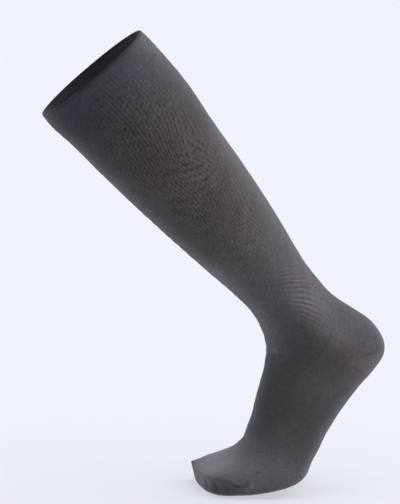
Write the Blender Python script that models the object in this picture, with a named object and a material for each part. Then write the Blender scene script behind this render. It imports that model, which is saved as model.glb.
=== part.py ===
"""Knee-high compression stocking, knitted as one tube and filled out as on a left foot with its heel raised.

World frame: metres, +Z up, origin at the middle of the open top edge. The leg runs down and back from there,
the toes point to -X, and the little toe is on the -Y side. The ball and toes rest FLOOR_DROP below the origin.
"""

import math
from collections.abc import Callable
from typing import NamedTuple

import bmesh
import bpy
import numpy as np

# Stance
LEAN = math.radians(40.2)  # the leg's axis from the vertical, its top forward
FLOOR_DROP = 0.4150  # the middle of the top edge above the floor

# Stretches of the tube, measured down its middle from the top edge
BAND_DEPTH = 0.024
HEEL_TURN = 0.3590  # the heel's gore line on the middle of the back
GORE_DIP = 0.006  # the gore line's corners, and the course across the instep, are this much lower
HEEL_REACH = 0.049  # half the heel pocket's height, on the middle line of the back
TOE_CAP_START = 0.495

# Toe line seen from above
OUTER_BOW_POWER = 4.0  # the curve back at the little-toe end, more turns it later and sharper
INNER_BOW_POWER = 2.0
INNER_BOW = 0.36  # share of the little-toe end's curve that the big-toe end has

# Knit walls
BAND_WALL = 0.0020
BAND_PROUD = 0.0005  # the doubled band outside the leg's surface
SINGLE_WALL = 0.0010
SPLICED_WALL = 0.0014  # heel and toe are knitted with a second yarn
SEAM_GAP = 0.0003
MERGE = 1e-6  # points of a toe seam or a pocket's corner that fall together are one

# Facets
COLUMNS = 40  # round the tube, a multiple of 4 so that the flattened toe end meets in pairs
HEEL_COLUMNS = 9  # of them, from the middle of the back to each corner of the heel pocket
CORNER_BACK = 0.06  # of a column, that the pocket's corners stop short of where leg and foot meet
QUARTER_POINTS = 60  # steps along a quarter of one ring, before its length is shared out evenly
BAND_ROWS = 4
LEG_ROWS = 24
HEEL_ROWS = 14
FOOT_ROWS = 15
TOE_ROWS = 16

YARN = (0.072, 0.068, 0.071, 1.0)


class LegRing(NamedTuple):
    """A ring square to the leg's axis."""

    name: str
    down: float  # from the top edge
    depth: float  # front to back
    width: float  # side to side
    calf: float  # the ring's middle behind the axis
    squareness: float = 2.1  # 2 is an ellipse


LEG_RINGS = (
    LegRing("top edge", 0.0000, 0.1243, 0.1052, -0.0029),
    LegRing("band", 0.0060, 0.1253, 0.1062, -0.0028),
    LegRing("below knee", 0.0480, 0.1235, 0.1062, -0.0002),
    LegRing("calf top", 0.0750, 0.1204, 0.1055, 0.0002),
    LegRing("calf", 0.1020, 0.1145, 0.1030, -0.0004),
    LegRing("low calf", 0.1713, 0.1001, 0.0909, 0.0000),
    LegRing("calf end", 0.2249, 0.0857, 0.0768, 0.0000),
    LegRing("above ankle", 0.2601, 0.0745, 0.0656, -0.0006),
    LegRing("ankle", 0.2759, 0.0708, 0.0620, -0.0012),
)


class FootRing(NamedTuple):
    """A ring from a point on the instep or toe line to one on the heel or sole line, heights above the floor."""

    name: str
    top_x: float
    top_h: float
    sole_x: float
    sole_h: float
    width: float
    widest: float  # where the ring is widest, as a share of its depth from the sole
    sole_square: float = 2.2  # 2 is an ellipse, more is flatter
    top_square: float = 2.1
    yaw: float = 0.0  # degrees that the little-toe side lies back
    bow: float = 0.0  # how far the little-toe end curves back
    rise: float = 0.0  # the big-toe side's upper half is taller by this share
    lift: float = 0.0  # the big-toe end above the middle


FOOT_RINGS = (
    FootRing("achilles", 0.1567, 0.1713, 0.2155, 0.2113, 0.0610, 0.50),
    FootRing("ankle bones", 0.1615, 0.1619, 0.2298, 0.1950, 0.0628, 0.52),
    FootRing("heel top", 0.1648, 0.1528, 0.2500, 0.1808, 0.0652, 0.55),
    FootRing("heel upper", 0.1665, 0.1440, 0.2693, 0.1673, 0.0665, 0.55),
    FootRing("heel back", 0.1669, 0.1370, 0.2820, 0.1460, 0.0670, 0.50),
    FootRing("heel lower", 0.1660, 0.1292, 0.2811, 0.1340, 0.0670, 0.48),
    FootRing("heel seat", 0.1650, 0.1222, 0.2718, 0.1202, 0.0665, 0.45),
    FootRing("heel front", 0.1628, 0.1134, 0.2580, 0.1040, 0.0660, 0.42),
    FootRing("arch", 0.1596, 0.1015, 0.2450, 0.0871, 0.0670, 0.40, 2.4),
    FootRing("waist", 0.1558, 0.0866, 0.2343, 0.0712, 0.0700, 0.38, 2.5),
    FootRing("instep end", 0.1527, 0.0737, 0.2251, 0.0559, 0.0760, 0.36, 2.6),
    FootRing("ball start", 0.1490, 0.0632, 0.2184, 0.0420, 0.0830, 0.34, 2.7),
    FootRing("ball", 0.1466, 0.0540, 0.2108, 0.0302, 0.0880, 0.34, 2.7, 2.1, 4.0, 0.000, 0.03),
    FootRing("ball low", 0.1444, 0.0486, 0.2050, 0.0192, 0.0905, 0.34, 2.7, 2.1, 6.0, 0.003, 0.03),
    FootRing("toe bend", 0.1405, 0.0440, 0.1945, 0.0114, 0.0920, 0.34, 2.8, 2.1, 8.0, 0.006, 0.04),
    FootRing("toe roots", 0.1360, 0.0396, 0.1790, 0.0068, 0.0920, 0.34, 3.0, 2.1, 10.0, 0.010, 0.06),
    FootRing("toe cap", 0.1310, 0.0358, 0.1610, 0.0040, 0.0915, 0.35, 3.5, 2.2, 12.0, 0.014, 0.11),
    FootRing("toes", 0.1235, 0.0320, 0.1400, 0.0015, 0.0910, 0.36, 4.0, 2.2, 13.5, 0.018, 0.17),
    FootRing("toe pads", 0.1160, 0.0282, 0.1180, 0.0001, 0.0905, 0.41, 4.1, 2.3, 14.5, 0.020, 0.20),
    FootRing("toe tips", 0.1095, 0.0252, 0.1063, 0.0004, 0.0893, 0.50, 4.5, 2.4, 15.0, 0.021, 0.16, -0.0002),
    FootRing("toe front", 0.1046, 0.0225, 0.1022, 0.0032, 0.0884, 0.61, 4.5, 2.6, 15.5, 0.021, 0.07, -0.0002),
    FootRing("under seam", 0.1019, 0.0203, 0.1015, 0.0092, 0.0874, 0.66, 4.5, 2.6, 16.5, 0.019, 0.03, -0.0004),
    FootRing("toe seam", 0.1003, 0.0170, 0.1003, 0.0170, 0.0876, 0.50, 3.0, 3.0, 17.0, 0.018, 0.00, -0.0004),
)


def clear_scene() -> None:
    """Remove what the file opens with."""
    for obj in list(bpy.data.objects):
        bpy.data.objects.remove(obj, do_unlink=True)


def signed_power(value: np.ndarray, power: float) -> np.ndarray:
    """Raise the size of a number to a power and keep its sign."""
    return np.sign(value) * np.abs(value) ** power


def foot_outline(ring: FootRing) -> np.ndarray:
    """Points round a ring, from the middle of the heel or sole by the big-toe side and back."""
    turn = np.linspace(0.0, 2.0 * math.pi, 4 * QUARTER_POINTS + 1)
    top = np.array((ring.top_x, 0.0, ring.top_h - FLOOR_DROP))
    sole = np.array((ring.sole_x, 0.0, ring.sole_h - FLOOR_DROP))
    upward = -np.cos(turn)[:, None]
    sideways = np.sin(turn)[:, None]
    on_top = upward > 0.0
    side = np.where(on_top, signed_power(sideways, 2.0 / ring.top_square),
                    signed_power(sideways, 2.0 / ring.sole_square))
    along = np.where(
        on_top,
        ring.widest + (1.0 - ring.widest) * signed_power(upward, 2.0 / ring.top_square) * (1.0 + ring.rise * side),
        ring.widest + ring.widest * signed_power(upward, 2.0 / ring.sole_square),
    )
    yaw = math.radians(ring.yaw)
    across = np.array((-math.sin(yaw), math.cos(yaw), 0.0)) * ring.width / 2.0
    back = np.where(side < 0.0, np.abs(side) ** OUTER_BOW_POWER, INNER_BOW * np.abs(side) ** INNER_BOW_POWER)
    bend = np.array((ring.bow, 0.0, 0.0)) * back + np.array((0.0, 0.0, ring.lift)) * side
    return sole + (top - sole) * along + across * side + bend


def leg_outline(ring: LegRing) -> np.ndarray:
    """Points round a ring of the leg, in the same order as a foot ring's."""
    axis = np.array((math.sin(LEAN), 0.0, -math.cos(LEAN)))
    backward = np.array((math.cos(LEAN), 0.0, math.sin(LEAN)))
    middle = axis * ring.down + backward * ring.calf
    front = middle - backward * ring.depth / 2.0
    back = middle + backward * ring.depth / 2.0
    return foot_outline(FootRing(
        ring.name, front[0], front[2] + FLOOR_DROP, back[0], back[2] + FLOOR_DROP, ring.width, 0.5,
        ring.squareness, ring.squareness,
    ))


OUTLINES = [leg_outline(ring) for ring in LEG_RINGS] + [foot_outline(ring) for ring in FOOT_RINGS]


def stations() -> np.ndarray:
    """Distance of each ring from the top edge along the cloth, the mean of its back, front and two sides."""
    quarters = np.array(OUTLINES)[:, :-1:QUARTER_POINTS]
    steps = np.linalg.norm(np.diff(quarters, axis=0), axis=2).mean(axis=1)
    return np.concatenate(((0.0,), np.cumsum(steps)))


STATIONS = stations()
TOE_SEAM = STATIONS[-1]


def rail(share: float) -> np.ndarray:
    """One point on each ring, this share of the way round it, with each quarter's length shared out evenly."""
    quarter, part = divmod(share % 1.0 * 4.0, 1.0)
    first = int(quarter) * QUARTER_POINTS
    points = []
    for outline in OUTLINES:
        stretch = outline[first:first + QUARTER_POINTS + 1]
        steps = np.linalg.norm(np.diff(stretch, axis=0), axis=1)
        travelled = np.concatenate(((0.0,), np.cumsum(steps)))
        at = part * travelled[-1]
        points.append([np.interp(at, travelled, stretch[:, axis]) for axis in range(3)])
    return np.array(points)


def along_rail(points: np.ndarray, at: np.ndarray) -> np.ndarray:
    """Places on the smooth curve through one rail's points, at these stations."""
    slopes = np.gradient(points, STATIONS, axis=0)
    first = np.clip(np.searchsorted(STATIONS, at, side="right") - 1, 0, len(STATIONS) - 2)
    length = (STATIONS[first + 1] - STATIONS[first])[:, None]
    part = (at - STATIONS[first])[:, None] / length
    return (
        points[first] * (1.0 + 2.0 * part) * (1.0 - part) ** 2
        + slopes[first] * length * part * (1.0 - part) ** 2
        + points[first + 1] * part**2 * (3.0 - 2.0 * part)
        + slopes[first + 1] * length * part**2 * (part - 1.0)
    )


def on_cloth(column: float, station: float) -> np.ndarray:
    """The point of the cloth at one column and station."""
    return along_rail(rail(column / COLUMNS), np.array((station,)))[0]


def from_back(column: float) -> float:
    """Columns between this one and the middle of the back, the short way round."""
    column %= COLUMNS
    return min(column, COLUMNS - column)


def heel_arch(column: float) -> float:
    """Height of the heel pocket's arch, from 1 on the middle of the back to 0 at its corners."""
    return math.cos(math.pi / 2.0 * min(from_back(column) / HEEL_COLUMNS, 1.0))


def band_edge(_column: float) -> float:
    """Station of the seam under the top band."""
    return BAND_DEPTH


def heel_top(column: float) -> float:
    """Station of the leg's lower edge, arched over the heel pocket."""
    return HEEL_TURN + GORE_DIP * (1.0 - heel_arch(column)) - HEEL_REACH * heel_arch(column)


def heel_bottom(column: float) -> float:
    """Station of the foot's upper edge, arched under the heel pocket."""
    return HEEL_TURN + GORE_DIP * (1.0 - heel_arch(column)) + HEEL_REACH * heel_arch(column)


def toe_edge(_column: float) -> float:
    """Station of the seam where the toe cap starts."""
    return TOE_CAP_START


def beside_seam(edge: Callable[[float], float], columns: list[float], side: int) -> list[float]:
    """Stations half a seam gap above (side -1) or below (side 1) a seam line, measured square to it."""
    reach = 0.001
    places = []
    for column in columns:
        station = edge(column)
        wale = on_cloth(column, station + reach) - on_cloth(column, station)
        course = on_cloth(column + 0.5, edge(column + 0.5)) - on_cloth(column - 0.5, edge(column - 0.5))
        square = np.linalg.norm(np.cross(wale, course)) / np.linalg.norm(course) / reach
        places.append(station + side * SEAM_GAP / 2.0 / square)
    return places


def knit_panel(name: str, columns: list[float], tops: list[float], bottoms: list[float], rows: int,
               wall: float, proud: float, closed: bool) -> bpy.types.Object:
    """A stretch of the tube between two lines of stations, given its wall by a Solidify modifier."""
    mesh = bpy.data.meshes.new(name)
    knit = bmesh.new()
    grid = []
    for column, top, bottom in zip(columns, tops, bottoms):
        places = along_rail(rail(column / COLUMNS), np.linspace(top, bottom, rows + 1))
        grid.append([knit.verts.new(place) for place in places])
    pairs = list(zip(grid, grid[1:] + grid[:1] if closed else grid[1:]))
    for left, right in pairs:
        for row in range(rows):
            knit.faces.new((left[row], left[row + 1], right[row + 1], right[row]))
    bmesh.ops.remove_doubles(knit, verts=knit.verts, dist=MERGE)
    knit.to_mesh(mesh)
    knit.free()
    mesh.shade_smooth()
    panel = bpy.data.objects.new(name, mesh)
    bpy.context.scene.collection.objects.link(panel)
    shell = panel.modifiers.new("wall", "SOLIDIFY")
    shell.thickness = wall
    shell.offset = 2.0 * proud / wall - 1.0
    shell.use_quality_normals = True
    return panel


def yarn_material(name: str, shade: float, roughness: float) -> bpy.types.Material:
    """Charcoal yarn, a little lighter or darker by shade."""
    material = bpy.data.materials.new(name)
    material.use_nodes = True
    shader = material.node_tree.nodes["Principled BSDF"]
    shader.inputs["Base Color"].default_value = (*(part * shade for part in YARN[:3]), 1.0)
    shader.inputs["Roughness"].default_value = roughness
    shader.inputs["Metallic"].default_value = 0.0
    return material


def build_band(around: list[float]) -> bpy.types.Object:
    """Doubled ring at the leg opening."""
    ends = beside_seam(band_edge, around, -1)
    band = knit_panel("top_band", around, [0.0] * COLUMNS, ends, BAND_ROWS, BAND_WALL, BAND_PROUD, True)
    band.data.materials.append(yarn_material("band_knit", 0.92, 0.85))
    return band


def build_leg(around: list[float]) -> bpy.types.Object:
    """Tube from the band to the instep and to the heel pocket's upper rim."""
    tops = beside_seam(band_edge, around, 1)
    ends = beside_seam(heel_top, around, -1)
    leg = knit_panel("leg", around, tops, ends, LEG_ROWS, SINGLE_WALL, 0.0, True)
    leg.data.materials.append(yarn_material("leg_knit", 1.0, 0.85))
    return leg


def build_heel() -> bpy.types.Object:
    """Pouch across the back of the ankle, pointed at its two corners."""
    corner = HEEL_COLUMNS - CORNER_BACK
    inside = [float(column) for column in range(1 - HEEL_COLUMNS, HEEL_COLUMNS)]
    point = [HEEL_TURN + GORE_DIP]
    tops = point + beside_seam(heel_top, inside, 1) + point
    ends = point + beside_seam(heel_bottom, inside, -1) + point
    heel = knit_panel(
        "heel_pocket", [-corner, *inside, corner], tops, ends, HEEL_ROWS, SPLICED_WALL, 0.0, False
    )
    heel.data.materials.append(yarn_material("heel_knit", 1.06, 0.85))
    return heel


def build_foot(around: list[float]) -> bpy.types.Object:
    """Tube from the instep and the heel pocket's lower rim to the toes."""
    tops = beside_seam(heel_bottom, around, 1)
    ends = beside_seam(toe_edge, around, -1)
    foot = knit_panel("foot", around, tops, ends, FOOT_ROWS, SINGLE_WALL, 0.0, True)
    foot.data.materials.append(yarn_material("foot_knit", 0.98, 0.85))
    return foot


def build_toe(around: list[float]) -> bpy.types.Object:
    """Closed end, its upper and lower halves linked along the toe seam."""
    tops = beside_seam(toe_edge, around, 1)
    toe = knit_panel("toe_cap", around, tops, [TOE_SEAM] * COLUMNS, TOE_ROWS, SPLICED_WALL, 0.0, True)
    toe.data.materials.append(yarn_material("toe_knit", 1.04, 0.85))
    return toe


def main() -> None:
    """Build the stocking from its top edge to its toes."""
    clear_scene()
    around = [float(column) for column in range(COLUMNS)]
    build_band(around)
    build_leg(around)
    build_heel()
    build_foot(around)
    build_toe(around)


main()
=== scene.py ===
"""Looks of a knee-high compression stocking in fine charcoal knit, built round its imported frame.

World frame: metres, +Z up, origin at the middle of the open top edge. The leg runs down and back from
there, the toes point to -X, and the little toe is on the -Y side.

Each stretch of the knitted tube is a thin closed shell on one smooth form, laid out in columns round the
tube and in stations down it. Creases and seams are raised in the shells, and the knit is a material on the
same grid.
"""

import logging
import math
from dataclasses import dataclass, replace
from enum import Enum
from functools import cached_property
from typing import ClassVar, NamedTuple

import bmesh
import bpy
import numpy as np
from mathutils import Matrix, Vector
from mathutils.bvhtree import BVHTree

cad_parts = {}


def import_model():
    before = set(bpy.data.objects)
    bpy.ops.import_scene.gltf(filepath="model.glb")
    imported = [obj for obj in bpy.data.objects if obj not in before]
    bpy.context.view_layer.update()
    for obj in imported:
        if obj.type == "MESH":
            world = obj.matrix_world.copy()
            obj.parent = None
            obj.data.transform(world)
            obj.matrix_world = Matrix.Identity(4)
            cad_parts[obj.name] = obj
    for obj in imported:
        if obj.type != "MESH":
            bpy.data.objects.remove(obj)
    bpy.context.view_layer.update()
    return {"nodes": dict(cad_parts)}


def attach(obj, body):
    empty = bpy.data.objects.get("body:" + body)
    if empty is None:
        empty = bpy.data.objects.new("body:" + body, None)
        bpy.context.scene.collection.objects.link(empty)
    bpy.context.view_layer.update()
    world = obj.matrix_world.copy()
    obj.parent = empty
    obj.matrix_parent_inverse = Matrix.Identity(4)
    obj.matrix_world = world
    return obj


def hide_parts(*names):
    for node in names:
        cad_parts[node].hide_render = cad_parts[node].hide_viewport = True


log = logging.getLogger("stocking")

BODY = "root"
KNIT_UV = "knit"


# ---- The form that the knitted tube is filled out to ----


class LegRing(NamedTuple):
    """A ring square to the leg's axis."""

    name: str
    down: float  # from the top edge
    depth: float  # front to back
    width: float  # side to side
    calf: float  # the ring's middle behind the axis
    squareness: float = 2.1  # 2 is an ellipse


class FootRing(NamedTuple):
    """A ring from the instep or toe line to the heel or sole line, with heights above the floor."""

    name: str
    top_x: float
    top_h: float
    sole_x: float
    sole_h: float
    width: float
    widest: float  # where the ring is widest, as a share of its depth from the sole
    sole_square: float = 2.2  # 2 is an ellipse, more is flatter
    top_square: float = 2.1
    yaw: float = 0.0  # degrees that the little-toe side lies back
    bow: float = 0.0  # how far the little-toe end curves back
    rise: float = 0.0  # the big-toe side's upper half is taller by this share
    lift: float = 0.0  # the big-toe end above the middle


LEG_RINGS = (
    LegRing("top edge", 0.0000, 0.1243, 0.1052, -0.0029),
    LegRing("band", 0.0060, 0.1253, 0.1062, -0.0028),
    LegRing("below knee", 0.0480, 0.1235, 0.1062, -0.0002),
    LegRing("calf top", 0.0750, 0.1204, 0.1055, 0.0002),
    LegRing("calf", 0.1020, 0.1145, 0.1030, -0.0004),
    LegRing("low calf", 0.1713, 0.1001, 0.0909, 0.0000),
    LegRing("calf end", 0.2249, 0.0857, 0.0768, 0.0000),
    LegRing("above ankle", 0.2601, 0.0745, 0.0656, -0.0006),
    LegRing("ankle", 0.2759, 0.0708, 0.0620, -0.0012),
)

FOOT_RINGS = (
    FootRing("achilles", 0.1567, 0.1713, 0.2155, 0.2113, 0.0610, 0.50),
    FootRing("ankle bones", 0.1615, 0.1619, 0.2298, 0.1950, 0.0628, 0.52),
    FootRing("heel top", 0.1648, 0.1528, 0.2500, 0.1808, 0.0652, 0.55),
    FootRing("heel upper", 0.1665, 0.1440, 0.2693, 0.1673, 0.0665, 0.55),
    FootRing("heel back", 0.1669, 0.1370, 0.2820, 0.1460, 0.0670, 0.50),
    FootRing("heel lower", 0.1660, 0.1292, 0.2811, 0.1340, 0.0670, 0.48),
    FootRing("heel seat", 0.1650, 0.1222, 0.2718, 0.1202, 0.0665, 0.45),
    FootRing("heel front", 0.1628, 0.1134, 0.2580, 0.1040, 0.0660, 0.42),
    FootRing("arch", 0.1596, 0.1015, 0.2450, 0.0871, 0.0670, 0.40, 2.4),
    FootRing("waist", 0.1558, 0.0866, 0.2343, 0.0712, 0.0700, 0.38, 2.5),
    FootRing("instep end", 0.1527, 0.0737, 0.2251, 0.0559, 0.0760, 0.36, 2.6),
    FootRing("ball start", 0.1490, 0.0632, 0.2184, 0.0420, 0.0830, 0.34, 2.7),
    FootRing("ball", 0.1466, 0.0540, 0.2108, 0.0302, 0.0880, 0.34, 2.7, 2.1, 4.0, 0.000, 0.03),
    FootRing("ball low", 0.1444, 0.0486, 0.2050, 0.0192, 0.0905, 0.34, 2.7, 2.1, 6.0, 0.003, 0.03),
    FootRing("toe bend", 0.1405, 0.0440, 0.1945, 0.0114, 0.0920, 0.34, 2.8, 2.1, 8.0, 0.006, 0.04),
    FootRing("toe roots", 0.1360, 0.0396, 0.1790, 0.0068, 0.0920, 0.34, 3.0, 2.1, 10.0, 0.010, 0.06),
    FootRing("toe cap", 0.1310, 0.0358, 0.1610, 0.0040, 0.0915, 0.35, 3.5, 2.2, 12.0, 0.014, 0.11),
    FootRing("toes", 0.1235, 0.0320, 0.1400, 0.0015, 0.0910, 0.36, 4.0, 2.2, 13.5, 0.018, 0.17),
    FootRing("toe pads", 0.1160, 0.0282, 0.1180, 0.0001, 0.0905, 0.41, 4.1, 2.3, 14.5, 0.020, 0.20),
    FootRing("toe tips", 0.1095, 0.0252, 0.1063, 0.0004, 0.0893, 0.50, 4.5, 2.4, 15.0, 0.021, 0.16, -0.0002),
    FootRing("toe front", 0.1046, 0.0225, 0.1022, 0.0032, 0.0884, 0.61, 4.5, 2.6, 15.5, 0.021, 0.07, -0.0002),
    FootRing("under seam", 0.1019, 0.0203, 0.1015, 0.0092, 0.0874, 0.66, 4.5, 2.6, 16.5, 0.019, 0.03, -0.0004),
    FootRing("toe seam", 0.1003, 0.0170, 0.1003, 0.0170, 0.0876, 0.50, 3.0, 3.0, 17.0, 0.018, 0.00, -0.0004),
)


def signed_power(value: np.ndarray, power: float) -> np.ndarray:
    """Raise the size of a number to a power and keep its sign."""
    return np.sign(value) * np.abs(value) ** power


@dataclass
class StockingForm:
    """The smooth closed-toe tube that every stretch lies on, addressed by column and station.

    Columns run from 0 on the middle of the back and sole, by the big-toe side, to 20 on the front and 40 on
    the back again. Stations run down the cloth from the top edge, in metres.
    """

    lean: float = math.radians(40.2)  # of the leg's axis from upright
    floor_drop: float = 0.4150  # from the origin to the floor
    outer_bow_power: float = 4.0  # how late a toe ring's bow sets in on the little-toe side
    inner_bow_power: float = 2.0
    inner_bow: float = 0.36  # share of the bow that the big-toe side takes
    columns: int = 40
    quarter_points: int = 80  # steps round a quarter of a ring
    probe: tuple[float, float] = (0.05, 0.0004)  # steps that a normal is measured over, columns and metres
    least_normal: float = 1e-12  # keeps the seam's folded end from a division by 0

    def __post_init__(self) -> None:
        """Work out the rings' outlines and stations."""
        rings = [self.leg_outline(ring) for ring in LEG_RINGS]
        rings += [self.foot_outline(ring) for ring in FOOT_RINGS]
        self.outlines = np.array(rings)
        quarters = self.outlines[:, :-1:self.quarter_points]
        steps = np.linalg.norm(np.diff(quarters, axis=0), axis=2).mean(axis=1)
        self.stations = np.concatenate(((0.0,), np.cumsum(steps)))
        self.end = float(self.stations[-1])

    def foot_outline(self, ring: FootRing) -> np.ndarray:
        """Find the points round a ring.

        Args:
            ring: the ring's row of the table.

        Returns:
            Points from the middle of the heel or sole by the big-toe side and back.
        """
        turn = np.linspace(0.0, 2.0 * math.pi, 4 * self.quarter_points + 1)
        top = np.array((ring.top_x, 0.0, ring.top_h - self.floor_drop))
        sole = np.array((ring.sole_x, 0.0, ring.sole_h - self.floor_drop))
        upward = -np.cos(turn)[:, None]
        sideways = np.sin(turn)[:, None]
        on_top = upward > 0.0
        side = np.where(on_top, signed_power(sideways, 2.0 / ring.top_square),
                        signed_power(sideways, 2.0 / ring.sole_square))
        above = (1.0 - ring.widest) * signed_power(upward, 2.0 / ring.top_square) * (1.0 + ring.rise * side)
        below = ring.widest * signed_power(upward, 2.0 / ring.sole_square)
        along = ring.widest + np.where(on_top, above, below)
        yaw = math.radians(ring.yaw)
        across = np.array((-math.sin(yaw), math.cos(yaw), 0.0)) * ring.width / 2.0
        outer = np.abs(side) ** self.outer_bow_power
        inner = self.inner_bow * np.abs(side) ** self.inner_bow_power
        bend = np.array((ring.bow, 0.0, 0.0)) * np.where(side < 0.0, outer, inner)
        return sole + (top - sole) * along + across * side + bend + np.array((0.0, 0.0, ring.lift)) * side

    def leg_outline(self, ring: LegRing) -> np.ndarray:
        """Find the points round a ring of the leg.

        Args:
            ring: the ring's row of the table.

        Returns:
            Points in the same order as a foot ring's.
        """
        axis = np.array((math.sin(self.lean), 0.0, -math.cos(self.lean)))
        backward = np.array((math.cos(self.lean), 0.0, math.sin(self.lean)))
        middle = axis * ring.down + backward * ring.calf
        front = middle - backward * ring.depth / 2.0
        back = middle + backward * ring.depth / 2.0
        return self.foot_outline(FootRing(
            ring.name, front[0], front[2] + self.floor_drop, back[0], back[2] + self.floor_drop,
            ring.width, 0.5, ring.squareness, ring.squareness,
        ))

    def rails(self, columns: np.ndarray) -> np.ndarray:
        """Follow columns over all the rings.

        Args:
            columns: places round the tube.

        Returns:
            One point on each ring for each column, with each quarter's length shared out evenly.
        """
        quarter, part = np.divmod(columns / self.columns % 1.0 * 4.0, 1.0)
        rails = np.empty((len(columns), len(self.outlines), 3))
        for ring, outline in enumerate(self.outlines):
            for one in range(4):
                chosen = quarter == one
                stretch = outline[one * self.quarter_points:(one + 1) * self.quarter_points + 1]
                steps = np.linalg.norm(np.diff(stretch, axis=0), axis=1)
                travelled = np.concatenate(((0.0,), np.cumsum(steps)))
                at = part[chosen] * travelled[-1]
                for axis in range(3):
                    rails[chosen, ring, axis] = np.interp(at, travelled, stretch[:, axis])
        return rails

    def along(self, rails: np.ndarray, at: np.ndarray) -> np.ndarray:
        """Read the smooth curves through the rails' points.

        Args:
            rails: a point on each ring, for each column.
            at: stations, one row of them for each column.

        Returns:
            Points, by column and row.
        """
        at = np.clip(at, 0.0, self.end)
        slopes = np.gradient(rails, self.stations, axis=1)
        first = np.clip(np.searchsorted(self.stations, at, side="right") - 1, 0, len(self.stations) - 2)
        length = (self.stations[first + 1] - self.stations[first])[..., None]
        part = (at - self.stations[first])[..., None] / length
        column = np.arange(len(rails))[:, None]
        return (
            rails[column, first] * (1.0 + 2.0 * part) * (1.0 - part) ** 2
            + slopes[column, first] * length * part * (1.0 - part) ** 2
            + rails[column, first + 1] * part**2 * (3.0 - 2.0 * part)
            + slopes[column, first + 1] * length * part**2 * (part - 1.0)
        )

    def surface(self, columns: np.ndarray, at: np.ndarray) -> tuple[np.ndarray, np.ndarray]:
        """Find places on the form and the directions out of it.

        Args:
            columns: places round the tube.
            at: stations, one row of them for each column.

        Returns:
            Points and unit normals, by column and row.
        """
        aside, ahead = self.probe
        rails = self.rails(columns)
        course = self.along(self.rails(columns + aside), at) - self.along(self.rails(columns - aside), at)
        wale = self.along(rails, at + ahead) - self.along(rails, at - ahead)
        normals = np.cross(wale, course)
        length = np.linalg.norm(normals, axis=2, keepdims=True)
        return self.along(rails, at), normals / np.maximum(length, self.least_normal)

    def place(self, column: float, station: float) -> np.ndarray:
        """Find the point of the form at one column and station."""
        return self.along(self.rails(np.array((column,))), np.array(((station,),)))[0, 0]


@dataclass
class Lay:
    """Rows of places on the form or just off it, one row for each column."""

    form: StockingForm
    columns: np.ndarray
    stations: np.ndarray
    points: np.ndarray

    def beside(self, *others: "Lay") -> "Lay":
        """Join more rows on the same columns.

        Args:
            others: what follows, in order.

        Returns:
            All the rows.
        """
        lays = (self, *others)
        stations = np.concatenate([lay.stations for lay in lays], axis=1)
        points = np.concatenate([lay.points for lay in lays], axis=1)
        return Lay(self.form, self.columns, stations, points)


# ---- Relief: creases, ripples and seams that stand in the cloth ----


@dataclass(frozen=True)
class Crease:
    """A soft trough or ridge pressed into the cloth along a line."""

    name: str
    path: tuple[tuple[float, float], ...]  # column and station of each of its points
    rise: float  # a trough's is below 0
    reach: float  # to each side, where it has sunk to a third
    samples: ClassVar[int] = 60
    cut_off: ClassVar[float] = 3.0  # reaches past which nothing is felt

    def mirrored(self) -> "Crease":
        """Repeat the crease on the far side of the leg."""
        path = tuple((StockingForm.columns - column, station) for column, station in self.path)
        return replace(self, name=f"{self.name}, far side", path=path)

    def line(self, form: StockingForm) -> np.ndarray:
        """Lay the crease's line on the form.

        Args:
            form: the form it lies on.

        Returns:
            Points along the line.
        """
        knots = np.linspace(0.0, 1.0, len(self.path))
        at = np.linspace(0.0, 1.0, self.samples)
        columns, stations = (np.interp(at, knots, values) for values in zip(*self.path))
        return form.along(form.rails(columns), stations[:, None])[:, 0]

    def lift(self, lay: Lay) -> np.ndarray:
        """Find how far the crease moves each place out.

        Args:
            lay: the places.

        Returns:
            Distances along the normals.
        """
        line = self.line(lay.form)
        lift = np.zeros(lay.stations.shape)
        margin = self.cut_off * self.reach
        inside = (lay.points > line.min(axis=0) - margin) & (lay.points < line.max(axis=0) + margin)
        near = inside.all(axis=2)
        if not near.any():
            return lift
        gaps = np.linalg.norm(lay.points[near][:, None] - line[None], axis=2)
        along = gaps.argmin(axis=1) / (self.samples - 1)
        fade = np.sqrt(np.clip(np.sin(math.pi * along), 0.0, 1.0))
        lift[near] = self.rise * fade * np.exp(-((gaps.min(axis=1) / self.reach) ** 2))
        return lift


@dataclass(frozen=True)
class Ripples:
    """A patch of fine ripples across the tube, where the cloth has more length than the form."""

    name: str
    column: float
    station: float
    columns: float  # half the patch, round the tube
    length: float  # half the patch, down the tube
    pitch: float
    rise: float
    wander: float = 0.35  # of a pitch, how far they stray from even spacing
    strays: ClassVar[tuple[tuple[float, float, float], ...]] = (
        (0.9, 0.7, 0.0),
        (0.37, 0.0, 1.3),
    )  # radians per column, radians per pitch down the tube, phase

    def lift(self, lay: Lay) -> np.ndarray:
        """Find how far the ripples move each place out.

        Args:
            lay: the places.

        Returns:
            Distances along the normals.
        """
        half = lay.form.columns / 2.0
        aside = ((lay.columns - self.column + half) % lay.form.columns - half)[:, None]
        down = lay.stations - self.station
        phase = down / self.pitch
        for by_column, by_pitch, start in self.strays:
            phase = phase + self.wander * np.sin(aside * by_column + down / self.pitch * by_pitch + start)
        patch = np.exp(-((aside / self.columns) ** 2) - (down / self.length) ** 2)
        return self.rise * patch * np.sin(2.0 * math.pi * phase)


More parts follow.
